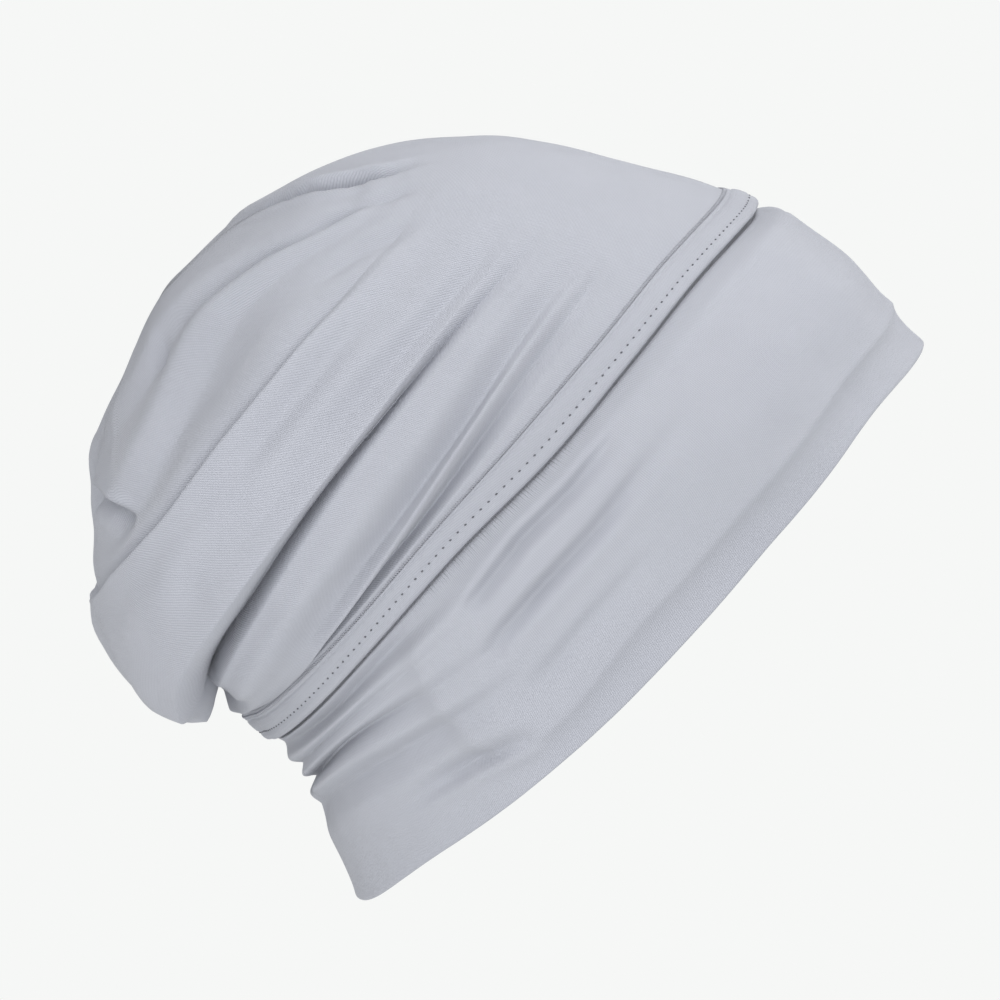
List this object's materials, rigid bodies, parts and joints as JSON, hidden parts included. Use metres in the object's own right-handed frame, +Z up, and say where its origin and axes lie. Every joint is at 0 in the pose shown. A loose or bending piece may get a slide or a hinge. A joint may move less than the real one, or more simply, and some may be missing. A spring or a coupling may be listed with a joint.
{
  "type": "turban cap",
  "caption": "slouched turban cap of thin jersey with a wide folded headband, a stitched hem tape over the seam and long soft folds that gather at the nape",
  "frame": {"origin": "centre of the brim opening, where the head goes in", "axes": "+X towards the brow, +Y towards the wearer's left ear, +Z up; the brim plane is tilted 44.5 degrees about Y, brow end up, as in the picture"},
  "size_m": [0.2158, 0.1733, 0.1986],
  "materials": {
    "crown_jersey": "matt fine jersey knit",
    "tape_jersey": "matt fine jersey knit, stitched",
    "band_jersey": "matt fine jersey knit",
    "lining_jersey": "matt fine jersey knit"
  },
  "bodies": {
    "root": {"crown": "crown_jersey", "seam_band": "tape_jersey", "headband": "band_jersey", "front_lining": "lining_jersey"}
  },
  "joints": []
}
